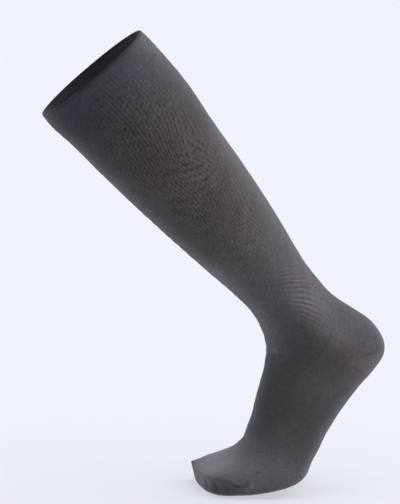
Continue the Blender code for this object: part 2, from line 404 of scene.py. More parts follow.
@dataclass(frozen=True)
class Slackness:
    """The slight unevenness of cloth that lies on a form, as a few long waves."""

    rise: float = 0.00016
    waves: tuple[tuple[float, float, float], ...] = (
        (3.0, 21.0, 0.4),
        (5.0, -34.0, 1.9),
        (8.0, 47.0, 4.1),
        (11.0, 66.0, 2.7),
    )  # waves round the tube, waves per metre down it, phase

    def lift(self, lay: Lay) -> np.ndarray:
        """Find how far the long waves move each place out.

        Args:
            lay: the places.

        Returns:
            Distances along the normals.
        """
        turn = 2.0 * math.pi * lay.columns[:, None] / lay.form.columns
        total = np.zeros(lay.stations.shape)
        for round_it, down_it, phase in self.waves:
            total += np.sin(round_it * turn + 2.0 * math.pi * down_it * lay.stations + phase)
        return self.rise * total / len(self.waves)


# Column 20 is the front, 30 the little-toe side and 10 the big-toe side.
TWIN_CREASES = (
    Crease("ankle front, upright", ((24.0, 0.333), (23.7, 0.342), (23.6, 0.352)), 0.0005, 0.0011),
    Crease("instep, slanting", ((22.5, 0.352), (24.5, 0.338), (27.0, 0.322)), 0.0005, 0.0020),
    Crease("heel gore", ((33.3, 0.3650), (35.6, 0.3610), (38.2, 0.3590)), -0.0008, 0.0015),
    Crease("heel back", ((38.0, 0.3449), (37.4, 0.3530), (36.9, 0.3606)), -0.0004, 0.0018),
    Crease("under the heel", ((33.5, 0.3700), (34.6, 0.3745), (35.6, 0.3769)), -0.0005, 0.0018),
)
CREASES = (
    *TWIN_CREASES,
    *(crease.mirrored() for crease in TWIN_CREASES),
    Crease("ankle bend, upper", ((17.0, 0.318), (20.0, 0.322), (24.5, 0.316)), -0.0003, 0.0022),
    Crease("ankle bend, middle", ((16.0, 0.337), (20.0, 0.340), (26.0, 0.331)), -0.0004, 0.0024),
    Crease("ankle bend, lower", ((17.5, 0.358), (20.0, 0.360), (25.0, 0.354)), -0.0003, 0.0022),
    Crease("toe seam", (
        (10.6, 0.5500), (10.7, 0.5600), (12.3, 0.5612), (16.6, 0.5618), (20.9, 0.5615),
        (23.2, 0.5603), (25.0, 0.5592), (26.5, 0.5587), (28.1, 0.5595), (29.3, 0.5612),
    ), 0.0007, 0.0013),
    Crease("seam's near end", ((29.4, 0.560), (29.8, 0.554), (29.6, 0.547), (29.3, 0.540)), 0.0006, 0.0013),
    Crease("seam's far end", ((10.6, 0.560), (10.2, 0.554), (10.4, 0.547), (10.7, 0.540)), -0.0008, 0.0020),
    Crease("toe pucker", ((30.5, 0.5560), (30.1, 0.5500), (29.8, 0.5430), (29.6, 0.5370)), -0.0016, 0.0014),
    Crease("toe pucker's end", ((29.1, 0.5370), (28.8, 0.5330)), -0.0014, 0.0014),
    Crease("beside the pucker", ((29.7, 0.5375), (30.0, 0.5330)), 0.0007, 0.0018),
    Crease("far toe pucker", ((9.6, 0.5560), (10.0, 0.5480), (10.2, 0.5405)), -0.0010, 0.0012),
    Crease("toe dimple", ((26.9, 0.5098), (27.3, 0.5062)), -0.0013, 0.0013),
    Crease("toe fold, left", ((36.1, 0.5618), (36.2, 0.5590), (35.9, 0.5555)), -0.0010, 0.0019),
    Crease("toe fold, middle", ((33.6, 0.5618), (33.4, 0.5580), (33.9, 0.5545)), -0.0009, 0.0036),
    Crease("toe fold, right", ((31.6, 0.5600), (31.6, 0.5560), (32.2, 0.5530)), -0.0006, 0.0015),
    Crease("big toe fold", ((39.5, 0.5620), (39.9, 0.5600), (39.7, 0.5575)), -0.0007, 0.0013),
    Crease("big toe's top", ((14.6, 0.5530), (15.2, 0.5455), (15.6, 0.5390)), 0.0007, 0.0045),
    Crease("toe top wrinkle", ((16.0, 0.5536), (17.2, 0.5515), (19.7, 0.5468)), -0.0004, 0.0010),
)


# ---- Shader maths ----


class Term:
    """A number socket that Python's arithmetic can be written on, each step adding one Math node."""

    def __init__(self, graph: "Graph", socket: bpy.types.NodeSocket) -> None:
        """Wrap a socket of a graph."""
        self.graph = graph
        self.socket = socket

    def _step(self, operation: str, *values: "Term | float") -> "Term":
        """Add one Math node over these values."""
        return self.graph.node("ShaderNodeMath", {"operation": operation}, dict(enumerate(values)))

    def __add__(self, other: "Term | float") -> "Term":
        """Add."""
        return self._step("ADD", self, other)

    __radd__ = __add__

    def __sub__(self, other: "Term | float") -> "Term":
        """Subtract."""
        return self._step("SUBTRACT", self, other)

    def __rsub__(self, other: float) -> "Term":
        """Subtract this from a number."""
        return self._step("SUBTRACT", other, self)

    def __mul__(self, other: "Term | float") -> "Term":
        """Multiply."""
        return self._step("MULTIPLY", self, other)

    __rmul__ = __mul__

    def __truediv__(self, other: "Term | float") -> "Term":
        """Divide."""
        return self._step("DIVIDE", self, other)

    def sine(self) -> "Term":
        """Sine of turns, where 1 is a full turn."""
        return self._step("SINE", self * (2.0 * math.pi))

    def fold(self, half: float) -> "Term":
        """Rise and fall between 0 and half, in a straight zigzag."""
        return self._step("PINGPONG", self, half)

    def clamp(self) -> "Term":
        """Hold between 0 and 1."""
        return self.graph.node("ShaderNodeClamp", {}, {"Value": self})


class Graph:
    """A material's node tree, with one method that adds any node."""

    def __init__(self, name: str) -> None:
        """Make a material with a bare Principled shader."""
        self.material = bpy.data.materials.new(name)
        self.material.use_nodes = True
        self.tree = self.material.node_tree
        self.shader = self.tree.nodes["Principled BSDF"]

    def link(self, socket: bpy.types.NodeSocket, value: object) -> None:
        """Feed a socket.

        Args:
            socket: the input to feed.
            value: a term, a socket or a plain value.
        """
        if isinstance(value, Term):
            value = value.socket
        if isinstance(value, bpy.types.NodeSocket):
            self.tree.links.new(value, socket)
        else:
            socket.default_value = value

    def node(self, kind: str, settings: dict[str, object], inputs: dict[str | int, object],
             output: str | int = 0) -> Term:
        """Add a node.

        Args:
            kind: the node's type.
            settings: properties that are set first.
            inputs: values, terms or sockets for its inputs.
            output: the output that is handed back.

        Returns:
            The output as a term.
        """
        made = self.tree.nodes.new(kind)
        for key, value in settings.items():
            setattr(made, key, value)
        for key, value in inputs.items():
            self.link(made.inputs[key], value)
        return Term(self, made.outputs[output])

    def attribute(self, mark: "Mark") -> Term:
        """Read a number that the mesh carries at its points."""
        return self.node("ShaderNodeAttribute", {"attribute_name": mark.value}, {}, "Fac")

    def noise(self, vector: Term, scale: float, detail: float) -> Term:
        """Add smooth noise about 0."""
        inputs = {"Vector": vector, "Scale": scale, "Detail": detail}
        return self.node("ShaderNodeTexNoise", {}, inputs) - 0.5

    def vector(self, first: Term, second: Term) -> Term:
        """Join two numbers in a flat vector."""
        return self.node("ShaderNodeCombineXYZ", {}, {0: first, 1: second, 2: 0.0})

    def mix(self, share: "Term | float", first: object, second: object) -> Term:
        """Mix two colours by a share of the second."""
        return self.node(
            "ShaderNodeMix", {"data_type": "RGBA", "clamp_factor": True}, {0: share, 6: first, 7: second}, 2
        )

    def cover(self, inputs: dict[str, object]) -> bpy.types.Material:
        """Feed the shader.

        Args:
            inputs: values, terms or sockets by the name of the shader's input.

        Returns:
            The finished material.
        """
        for name, value in inputs.items():
            self.link(self.shader.inputs[name], value)
        return self.material


class Mark(Enum):
    """Numbers that a shell carries at its points for its material."""

    RIBS = "ribs"
    SWIRL = "swirl"
    WAVES = "waves"
    WAVE_TURNS = "wave_turns"
    WARMTH = "warmth"
    COOLNESS = "coolness"
    # painted light and shade, with the knit's own lighter and darker places, as a scale on the yarn's colour
    PAINTED_LIGHT_AND_TONE = "tone"


@dataclass(frozen=True)
class KnitFinish:
    """Fine charcoal knit with a soft, slightly velvety face."""

    name: str
    yarn: tuple[float, float, float] = (0.0462, 0.0411, 0.0447)
    warm_yarn: tuple[float, float, float] = (0.052, 0.041, 0.039)
    cool_yarn: tuple[float, float, float] = (0.038, 0.041, 0.053)
    wales: int = 340  # needles round the machine
    course_pitch: float = 0.00075
    stitch_height: float = 0.00006
    stitch_shade: float = 0.10
    stitch_lean: float = 0.8  # how far a loop's sides run up, in courses
    ribs: int = 88  # wales gather in soft ribs this many times round
    rib_height: float = 0.00012
    rib_shade: float = 0.60
    rib_crown: float = 0.3  # a rib's lightness between its grooves
    rib_stray: tuple[float, float] = (1.8, 0.8)  # how far drift and blots bend the ribs
    groove: float = 0.30  # half the groove between two ribs, in ribs
    dash_length: float = 0.0030  # of the lighter and darker stretches along a rib
    dash_contrast: float = 3.4
    twill_pitch: float = 0.0052  # of the slanting rows that cross the ribs
    twill_slant: float = 0.5  # rows crossed in one rib
    twill_shade: float = 0.09
    twill_height: float = 0.4  # of a rib's
    wave_shade: float = 0.25  # of the lines where the laid-in yarn shows over the calf and the ankle
    wave_stray: float = 2.0  # how far drift bends them
    drift_scale: float = 18.0  # noise scales, from the slow drift of the ribs to the fuzz
    blot_scale: float = 75.0
    fuzz_scale: float = 290.0
    slub_length: float = 0.0046
    blot_shade: float = 0.60
    slub_shade: float = 1.30
    slub_roughness: float = 0.3
    fuzz_shade: float = 1.20
    mottle_share: tuple[float, float] = (0.3, 0.9)  # of blots and slubs on plain cloth, and what ribs add
    fuzz_share: tuple[float, float] = (0.25, 0.5)  # the same for the fuzz
    roughness: float = 0.82
    gloss: float = 0.25
    sheen: float = 0.34
    sheen_roughness: float = 0.42
    sheen_tint: tuple[float, float, float] = (0.92, 0.93, 1.0)

    def material(self) -> bpy.types.Material:
        """Build the material.

        Returns:
            A material that reads the knit's own UV map, the shell's marks and Object coordinates.
        """
        graph = Graph(self.name)
        mark = {kind: graph.attribute(kind) for kind in Mark}
        grid = graph.node("ShaderNodeUVMap", {"uv_map": KNIT_UV}, {})
        share, down = (graph.node("ShaderNodeSeparateXYZ", {}, {0: grid}, axis) for axis in (0, 1))
        place = graph.node("ShaderNodeTexCoord", {}, {}, "Object")
        drift = graph.noise(place, self.drift_scale, detail=1.0)
        blot = graph.noise(place, self.blot_scale, detail=2.0)
        fuzz = graph.noise(place, self.fuzz_scale, detail=1.0)
        slub_grid = graph.vector(share * (self.wales / 2.0), down / self.slub_length)
        slub = graph.noise(slub_grid, scale=1.0, detail=2.0)

        ribbed = mark[Mark.RIBS]
        bend = drift * self.rib_stray[0] + blot * self.rib_stray[1]
        rib_turn = share * float(self.ribs) + bend + mark[Mark.SWIRL]
        dash = graph.noise(graph.vector(rib_turn, down / self.dash_length), scale=1.0, detail=1.0)
        groove = (1.0 - rib_turn.fold(0.5) / self.groove).clamp()
        rib = (self.rib_crown - groove * (dash * self.dash_contrast + 1.0).clamp()) * ribbed
        twill = (rib_turn * self.twill_slant + down / self.twill_pitch).sine() * ribbed
        wave = (mark[Mark.WAVE_TURNS] + drift * self.wave_stray + blot).sine() * mark[Mark.WAVES]
        wale = share * float(self.wales)
        loop = (down / self.course_pitch + wale.fold(0.5) * self.stitch_lean).sine()
        stitch = loop * 0.5 + (wale + 0.25).sine()

        lines = rib * self.rib_shade + twill * self.twill_shade + wave * self.wave_shade
        mottle = blot * self.blot_shade + slub * self.slub_shade
        grain = (
            lines + stitch * self.stitch_shade
            + mottle * (ribbed * self.mottle_share[1] + self.mottle_share[0])
            + fuzz * self.fuzz_shade * (ribbed * self.fuzz_share[1] + self.fuzz_share[0]) + 1.0
        )
        warmed = graph.mix(mark[Mark.WARMTH], (*self.yarn, 1.0), (*self.warm_yarn, 1.0))
        tinted = graph.mix(mark[Mark.COOLNESS], warmed, (*self.cool_yarn, 1.0))
        # the yarn's colour scaled by its pattern and by the painted light and shade
        toned = {0: tinted, "Scale": grain * mark[Mark.PAINTED_LIGHT_AND_TONE]}
        relief = (rib + wave + twill * self.twill_height) * self.rib_height + stitch * self.stitch_height
        return graph.cover({
            "Base Color": graph.node("ShaderNodeVectorMath", {"operation": "SCALE"}, toned),
            "Normal": graph.node("ShaderNodeBump", {}, {"Strength": 1.0, "Distance": 1.0, "Height": relief}),
            "Roughness": slub * self.slub_roughness + self.roughness,
            "Specular IOR Level": self.gloss,
            "Sheen Weight": self.sheen,
            "Sheen Roughness": self.sheen_roughness,
            "Sheen Tint": (*self.sheen_tint, 1.0),
        })


# ---- Places where the knit changes and where light and shade are painted, each the same on both sides of the leg ----


@dataclass(frozen=True)
class TwinPlace:
    """A place on the cloth and its mirror image on the far side."""

    column: float
    station: float

    def distances(self, lay: Lay) -> tuple[np.ndarray, np.ndarray]:
        """Measure to the place and to its mirror image.

        Args:
            lay: the places to measure from.

        Returns:
            The distances to the one and to the other.
        """
        middle = lay.form.place(self.column, self.station)
        mirrored = middle * np.array((1.0, -1.0, 1.0))
        return np.linalg.norm(lay.points - middle, axis=2), np.linalg.norm(lay.points - mirrored, axis=2)


@dataclass(frozen=True)
class Patch(TwinPlace):
    """A soft round area of the cloth."""

    reach: float
    amount: float

    def strength(self, lay: Lay) -> np.ndarray:
        """Find how strongly each place lies in the patch or in its mirror image."""
        here, there = (np.exp(-((gap / self.reach) ** 2)) for gap in self.distances(lay))
        return self.amount * (here + there - here * there)


@dataclass(frozen=True)
class RingWaves(TwinPlace):
    """Fine curved lines round a place, evenly spaced."""

    pitch: float

    def turns(self, lay: Lay) -> np.ndarray:
        """Count the lines from the nearer of the two middles out to each place."""
        return np.minimum(*self.distances(lay)) / self.pitch


CALF_WAVES = RingWaves(33.2, 0.0930, 0.0074)
ANKLE_WAVES = RingWaves(24.6, 0.3800, 0.0044)
CALF_WAVES_END = 0.185  # the station where the one kind gives way to the other


def patches(*rows: tuple[float, float, float, float]) -> tuple[Patch, ...]:
    """Make a patch of each row of column, station, reach and amount."""
    return tuple(Patch(*row) for row in rows)


PATCHES = {
    # Mostly painted light and shade, set to how the light falls on each part, mixed with the knit's own
    # lighter and darker places
    Mark.PAINTED_LIGHT_AND_TONE: patches(
        # band
        (38.2, 0.013, 0.016, 0.55), (22.0, 0.018, 0.020, -0.60), (34.5, 0.022, 0.018, 0.25),
        (24.2, 0.028, 0.022, -0.30), (28.5, 0.030, 0.040, -0.25),
        # calf
        (34.5, 0.060, 0.050, 0.40), (24.0, 0.065, 0.028, -0.20), (37.8, 0.077, 0.018, -0.20),
        (29.5, 0.090, 0.040, -0.20), (37.5, 0.098, 0.022, -0.35), (34.5, 0.120, 0.040, 0.40),
        (38.5, 0.130, 0.020, 0.40), (31.0, 0.135, 0.020, 0.20), (38.5, 0.165, 0.024, 0.35),
        (34.5, 0.180, 0.035, 0.50), (23.9, 0.192, 0.014, 0.20),
        # lower leg
        (31.5, 0.212, 0.024, 0.30), (38.5, 0.215, 0.030, 0.35), (22.6, 0.228, 0.024, 0.90),
        (23.2, 0.232, 0.016, 0.30), (34.0, 0.235, 0.030, 0.80), (31.5, 0.243, 0.018, 0.25),
        (25.5, 0.250, 0.022, 0.50), (32.7, 0.262, 0.018, 0.40), (38.5, 0.262, 0.022, 0.35),
        (22.6, 0.270, 0.020, 0.50), (25.5, 0.285, 0.018, 0.40), (33.8, 0.288, 0.024, 1.50),
        (34.2, 0.303, 0.016, 0.90), (23.6, 0.305, 0.020, 0.70),
        # ankle and heel
        (34.2, 0.318, 0.016, 1.30), (32.6, 0.329, 0.008, 0.45), (22.6, 0.335, 0.016, 0.60),
        (33.7, 0.340, 0.012, 0.90), (35.5, 0.345, 0.030, 0.95), (34.4, 0.3645, 0.008, 0.30),
        (37.0, 0.366, 0.016, 0.65), (35.5, 0.373, 0.016, 0.50), (32.5, 0.388, 0.022, 0.45),
        (28.6, 0.389, 0.016, 0.35),
        # foot
        (33.5, 0.420, 0.030, 0.40), (31.9, 0.446, 0.009, 0.25), (28.0, 0.450, 0.018, 0.35),
        # toe cap
        (24.4, 0.482, 0.016, 0.50), (30.5, 0.482, 0.022, 1.00), (31.0, 0.493, 0.010, 0.45),
        (27.5, 0.497, 0.022, 1.20), (25.6, 0.5055, 0.012, 0.25), (25.7, 0.510, 0.014, 0.35),
        (22.5, 0.515, 0.022, 1.10), (29.6, 0.520, 0.009, -0.25), (25.6, 0.525, 0.016, 0.50),
        # the patch of 3.90 on this row is a painted highlight on the toe's top
        (29.8, 0.530, 0.014, 0.45), (17.0, 0.536, 0.022, 3.90), (30.2, 0.5368, 0.008, 0.35),
        (20.0, 0.557, 0.010, 0.60), (20.5, 0.560, 0.006, 0.25), (34.2, 0.560, 0.014, -0.80),
        # the first patch on this row is painted shade in the fold at the toe's far corner
        (12.6, 0.5605, 0.0072, -0.60), (0.0, 0.5611, 0.0035, -0.25), (36.3, 0.5622, 0.006, -0.30),
    ),
    Mark.WAVES: patches(
        # calf
        (31.4, 0.120, 0.014, 0.80), (32.4, 0.137, 0.014, 0.80),
        # lower leg
        (31.5, 0.218, 0.016, 0.25), (33.5, 0.268, 0.012, 0.40), (33.3, 0.284, 0.013, 0.80),
        (33.0, 0.299, 0.013, 0.80),
        # ankle and heel
        (32.6, 0.313, 0.012, 0.60),
    ),
    Mark.WARMTH: patches(
        # calf
        (28.6, 0.095, 0.045, 0.50), (31.0, 0.110, 0.060, 0.70), (28.2, 0.190, 0.040, 0.35),
        # ankle and heel
        (31.8, 0.3605, 0.012, 0.65), (33.8, 0.361, 0.009, 0.35), (32.5, 0.376, 0.020, 0.30),
    ),
    Mark.COOLNESS: patches(
        # band
        (26.0, 0.010, 0.040, 0.90), (34.0, 0.010, 0.035, 0.60),
        # ankle and heel
        (37.0, 0.345, 0.014, 0.60),
        # toe cap
        (25.0, 0.525, 0.040, 0.15),
    ),
    Mark.RIBS: patches(
        # band
        (31.5, 0.024, 0.022, 0.45),
        # calf
        (29.5, 0.048, 0.036, 0.70), (35.5, 0.072, 0.034, 0.60), (25.5, 0.095, 0.040, 0.50),
        (30.5, 0.100, 0.040, 1.00), (31.8, 0.129, 0.018, -0.60), (36.5, 0.145, 0.050, 0.40),
        (30.5, 0.150, 0.035, 0.60),
        # lower leg
        (25.5, 0.205, 0.045, 0.45), (31.5, 0.220, 0.045, 0.40),
        # ankle and heel
        (33.8, 0.362, 0.010, 0.50),
    ),
    Mark.SWIRL: patches(
        # calf
        (32.5, 0.112, 0.024, 3.50), (32.5, 0.192, 0.020, 2.50),
    ),
}


# ---- The knitted stretches ----


def spaced(starts: np.ndarray, ends: np.ndarray, steps: int) -> np.ndarray:
    """Space stations evenly from a start to an end at each column."""
    return starts[:, None] + (ends - starts)[:, None] * np.linspace(0.0, 1.0, steps + 1)


@dataclass
class KnitStretch:
    """One stretch of the tube as a thin closed shell."""

    form: StockingForm
    finish: KnitFinish
    solid: bpy.types.Object
    node: ClassVar[str]
    piece: ClassVar[str]
    slot: ClassVar[str]
    rows: ClassVar[int]  # of faces on the outside
    inner_rows: ClassVar[int]
    wall: ClassVar[float] = 0.0010
    around: ClassVar[int] = 200  # columns of faces
    closed_round: ClassVar[bool] = True  # the last column meets the first
    closed_section: ClassVar[bool] = True  # the last row meets the first
    half_gap: ClassVar[float] = 0.00005  # from a seam's middle to the cloth's edge
    band_depth: ClassVar[float] = 0.024
    heel_turn: ClassVar[float] = 0.3590  # station of the heel pocket's middle
    gore_dip: ClassVar[float] = 0.006  # how much further down its corners lie
    heel_reach: ClassVar[float] = 0.049  # from its middle up and down the back
    heel_columns: ClassVar[float] = 9.0  # from the back to a corner
    toe_cap_start: ClassVar[float] = 0.495
    girth_stretch: ClassVar[float] = 1.22  # worn, over the size it was knitted to
    length_stretch: ClassVar[float] = 1.04
    fold_painted_shade: ClassVar[float] = 450.0  # painted highlight on ridges and painted shade in troughs: lighter per metre of ridge, darker per metre of trough
    fold_limits: ClassVar[tuple[float, float]] = (0.35, 1.4)
    seam_and_painted_rim_shade: ClassVar[tuple[float, float]] = (0.06, 0.06)  # dark seams at the upper and the lower edge, and on the band painted shade along its rolled top edge
    seam_shadow: ClassVar[tuple[float, float]] = (0.0008, 0.0008)  # how far it reaches from them
    seam_warmth: ClassVar[float] = 0.0  # at the upper edge, which on the band tints its painted rim shade warm
    least_ribs: ClassVar[float] = 0.15
    least_tone: ClassVar[float] = 0.2
    weld: ClassVar[float] = 1e-6  # points nearer than this become one
    sharp_angle: ClassVar[float] = math.radians(50.0)
    probes: ClassVar[int] = 1500  # points that are measured against the solid

    @cached_property
    def columns(self) -> np.ndarray:
        """Places round the tube, without the last, which is the first again."""
        return np.arange(self.around) * self.form.columns / self.around

    def edges(self) -> tuple[np.ndarray, np.ndarray]:
        """Stations of the stretch's upper and lower edge at each column."""
        raise NotImplementedError

    def at_columns(self, station: float) -> np.ndarray:
        """Repeat one station at each column."""
        return np.full(len(self.columns), station)

    def heel_arch(self) -> np.ndarray:
        """Height of the heel pocket's arch, from 1 on the middle of the back to 0 at its corners."""
        back = np.abs((self.columns + self.form.columns / 2.0) % self.form.columns - self.form.columns / 2.0)
        return np.cos(math.pi / 2.0 * np.minimum(back / self.heel_columns, 1.0))

    def heel_line(self, side: float) -> np.ndarray:
        """Station of the heel pocket's rim, its upper one with side -1 and its lower one with 1."""
        arch = self.heel_arch()
        return self.heel_turn + self.gore_dip * (1.0 - arch) + side * self.heel_reach * arch

    def offsets(self, stations: np.ndarray) -> tuple[np.ndarray, np.ndarray]:
        """How far the outer and the inner face stand off the form."""
        return np.zeros(stations.shape), np.full(stations.shape, -self.wall)

    def relief(self, lay: Lay) -> np.ndarray:
        """Add up the creases and seams."""
        return sum(crease.lift(lay) for crease in CREASES)

    def lift(self, lay: Lay) -> np.ndarray:
        """Find how far all that stands in the cloth moves each place out."""
        return Slackness().lift(lay) + self.relief(lay)

    def raised(self, stations: np.ndarray, offset: np.ndarray) -> Lay:
        """Lay rows off the form, with what stands in the cloth.

        Args:
            stations: rows of stations, one row for each column.
            offset: how far the rows stand off the form.

        Returns:
            The rows.
        """
        points, normals = self.form.surface(self.columns, stations)
        height = offset + self.lift(Lay(self.form, self.columns, stations, points))
        return Lay(self.form, self.columns, stations, points + normals * height[..., None])

    def layer(self, stations: np.ndarray, outside: bool) -> Lay:
        """Lay the wall's outer face, or else the inner one."""
        return self.raised(stations, self.offsets(stations)[0 if outside else 1])

    def profile(self) -> Lay:
        """Lay the wall's whole section at each column.

        Returns:
            The rows round the section.
        """
        tops, ends = self.edges()
        outer = self.layer(spaced(tops, ends, self.rows), True)
        return outer.beside(self.layer(spaced(ends, tops, self.inner_rows), False))

    def build(self) -> None:
        """Make the shell, dress it and put it in its solid's place."""
        piece = self.mesh(self.profile())
        piece.data.materials.append(self.finish.material())
        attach(piece, BODY)
        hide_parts(self.node)
        self.declare()
        log.info("%s: %d faces, at most %.2f mm off its solid", piece.name, len(piece.data.polygons),
                 1000.0 * self.misfit(piece))

    def mesh(self, lay: Lay) -> bpy.types.Object:
        """Join rows into a shell with a knit map and marks.

        Args:
            lay: the rows.

        Returns:
            The shell, in place.
        """
        down = lay.stations
        index = np.arange(down.size).reshape(down.shape)
        turn = lay.columns / self.form.columns
        if self.closed_round:
            index = np.concatenate((index, index[:1]))
            down = np.concatenate((down, down[:1]))
            turn = np.append(turn, turn[0] + 1.0)
        if self.closed_section:
            index = np.concatenate((index, index[:, :1]), axis=1)
            down = np.concatenate((down, down[:, :1]), axis=1)
        turn = np.broadcast_to(turn[:, None], down.shape)
        here, there = slice(None, -1), slice(1, None)
        corners = ((here, here), (here, there), (there, there), (there, here))
        faces = np.stack([index[corner] for corner in corners], axis=-1).reshape(-1, 4)
        maps = np.stack([np.stack((turn[corner], down[corner]), axis=-1) for corner in corners], axis=2)

        data = bpy.data.meshes.new(self.piece)
        data.from_pydata(lay.points.reshape(-1, 3).tolist(), [], faces.tolist())
        data.uv_layers.new(name=KNIT_UV).data.foreach_set("uv", maps.astype(np.float32).ravel())
        for mark, values in self.marks(lay).items():
            carried = data.attributes.new(mark.value, "FLOAT", "POINT")
            carried.data.foreach_set("value", values.astype(np.float32).ravel())
        knit = bmesh.new()
        knit.from_mesh(data)
        bmesh.ops.remove_doubles(knit, verts=knit.verts, dist=self.weld)
        bmesh.ops.recalc_face_normals(knit, faces=knit.faces)
        knit.to_mesh(data)
        knit.free()
        data.shade_smooth()
        data.set_sharp_from_angle(angle=self.sharp_angle)
        piece = bpy.data.objects.new(self.piece, data)
        bpy.context.scene.collection.objects.link(piece)
        return piece

    def marks(self, lay: Lay) -> dict[Mark, np.ndarray]:
        """Work out the numbers that the material reads.

        Args:
            lay: the shell's points.

        Returns:
            For each mark, a number at each point.
        """
        found = {mark: np.zeros(lay.stations.shape) for mark in Mark}
        for mark, areas in PATCHES.items():
            for area in areas:
                found[mark] += area.strength(lay)
        found[Mark.RIBS] = np.clip(found[Mark.RIBS], self.least_ribs, 1.0)
        on_calf = lay.stations < CALF_WAVES_END
        found[Mark.WAVE_TURNS] = np.where(on_calf, CALF_WAVES.turns(lay), ANKLE_WAVES.turns(lay))
        tops, ends = self.edges()
        gaps = (lay.stations - tops[:, None], ends[:, None] - lay.stations)
        upper, lower = (
            np.exp(-((np.maximum(gap, 0.0) / shadow) ** 2)) for gap, shadow in zip(gaps, self.seam_shadow)
        )
        # painted light and shade and the knit's own tone, from the patches
        found[Mark.PAINTED_LIGHT_AND_TONE] = np.maximum(1.0 + found[Mark.PAINTED_LIGHT_AND_TONE], self.least_tone)
        # painted shade in the creases' troughs and painted highlight on their ridges
        found[Mark.PAINTED_LIGHT_AND_TONE] *= np.clip(1.0 + self.fold_painted_shade * self.relief(lay), *self.fold_limits)
        # dark seams, and on the band painted shade along its rolled top edge
        found[Mark.PAINTED_LIGHT_AND_TONE] *= (1.0 - self.seam_and_painted_rim_shade[0] * upper) * (1.0 - self.seam_and_painted_rim_shade[1] * lower)
        found[Mark.WARMTH] += self.seam_warmth * upper
        return found

    def declare(self) -> None:
        """Work out the stretch's points and its length as knitted; nothing is done with them.
        """
        tops, ends = self.edges()
        points = self.form.surface(self.columns, spaced(tops, ends, self.rows))[0]
        if self.closed_round:
            points = np.concatenate((points, points[:1]), axis=0)
        length = float(ends.max() - tops.min()) / self.length_stretch

    def misfit(self, piece: bpy.types.Object) -> float:
        """Measure how far the shell's points lie from the solid that they stand for.

        Args:
            piece: the shell.

        Returns:
            The largest distance over an even choice of points.
        """
        solid = self.solid.data
        faces = [tuple(face.vertices) for face in solid.polygons]
        tree = BVHTree.FromPolygons([vertex.co for vertex in solid.vertices], faces)
        every = max(1, len(piece.data.vertices) // self.probes)
        return max(tree.find_nearest(vertex.co)[3] for vertex in list(piece.data.vertices)[::every])


class TopBand(KnitStretch):
    """Doubled ring at the leg opening, its fold rolled over at the top."""

    node = "top_band"
    piece = "band_cloth"
    slot = "band_knit"
    wall = 0.0018
    # the upper edge's darkening, tinted warm, is painted shade along the rolled top edge; the lower edge's is
    # the dark seam
    seam_and_painted_rim_shade = (0.65, 0.08)
    seam_shadow = (0.0022, 0.0008)
    seam_warmth = 0.9
    least_ribs = 0.30
    rows = 22
    inner_rows = 12
    proud: ClassVar[float] = 0.0004  # how far the outer face stands off the form
    ease: ClassVar[float] = 0.003  # over which the outer face comes back to the leg's
    roll_steps: ClassVar[int] = 6

    def edges(self) -> tuple[np.ndarray, np.ndarray]:
        """From the fold to the seam under the band."""
        return self.at_columns(0.0), self.at_columns(self.band_depth - self.half_gap)

    def offsets(self, stations: np.ndarray) -> tuple[np.ndarray, np.ndarray]:
        """The outer face comes back to the leg's surface at the seam."""
        outer = self.proud * np.sqrt(np.clip((self.band_depth - stations) / self.ease, 0.0, 1.0))
        return outer, np.full(stations.shape, self.proud - self.wall)

    def profile(self) -> Lay:
        """Roll the cloth over the top edge between the outer and the inner face.

        Returns:
            The rows round the section.
        """
        tops, ends = self.edges()
        radius = self.wall / 2.0
        starts = tops + radius
        outer = self.layer(spaced(starts, ends, self.rows), True)
        inner = self.layer(spaced(ends, starts, self.inner_rows), False)
        turn = np.linspace(math.pi, 0.0, self.roll_steps + 1)[1:-1]
        over = starts[:, None] - radius * np.sin(turn)
        return outer.beside(inner, self.raised(over, self.proud - radius + radius * np.cos(turn)))


class Leg(KnitStretch):
    """Tube from the band to the instep and to the heel pocket's upper rim."""

    node = "leg"
    piece = "leg_cloth"
    slot = "leg_knit"
    seam_and_painted_rim_shade = (0.12, 0.05)
    least_ribs = 0.30
    rows = 180
    inner_rows = 60
    ripples: ClassVar[tuple[Ripples, ...]] = (
        Ripples("shin", 21.0, 0.270, 5.0, 0.030, 0.0075, 0.00022),
        Ripples("calf front", 21.5, 0.160, 4.0, 0.060, 0.0110, 0.00016),
    )

    def edges(self) -> tuple[np.ndarray, np.ndarray]:
        """From under the band to the heel pocket and across the instep."""
        return self.at_columns(self.band_depth + self.half_gap), self.heel_line(-1.0) - self.half_gap

    def lift(self, lay: Lay) -> np.ndarray:
        """Add the fine ripples down the front."""
        return super().lift(lay) + sum(ripples.lift(lay) for ripples in self.ripples)


class HeelPocket(KnitStretch):
    """Pouch across the back of the ankle, pointed at its two corners."""

    node = "heel_pocket"
    piece = "heel_cloth"
    slot = "heel_knit"
    wall = 0.0012
    around = 110
    rows = 90
    inner_rows = 30
    closed_round = False
    corner_back: ClassVar[float] = 0.03  # columns that it stops short of its corners

    @cached_property
    def columns(self) -> np.ndarray:
        """From one corner over the middle of the back to the other."""
        corner = self.heel_columns - self.corner_back
        return np.linspace(-corner, corner, self.around + 1)

    def edges(self) -> tuple[np.ndarray, np.ndarray]:
        """Follow its two rims, which run together at the corners.

        Returns:
            Stations of the upper and the lower rim.
        """
        tops, ends = (self.heel_line(side) - side * self.half_gap for side in (-1.0, 1.0))
        for end in (0, -1):
            tops[end] = ends[end] = self.heel_turn + self.gore_dip
        return np.minimum(tops, ends), ends


class Foot(KnitStretch):
    """Tube from the instep and the heel pocket's lower rim to the toes."""

    node = "foot"
    piece = "foot_cloth"
    slot = "foot_knit"
    rows = 90
    inner_rows = 36

    def edges(self) -> tuple[np.ndarray, np.ndarray]:
        """From the instep and the heel pocket to the toe cap."""
        return self.heel_line(1.0) + self.half_gap, self.at_columns(self.toe_cap_start - self.half_gap)


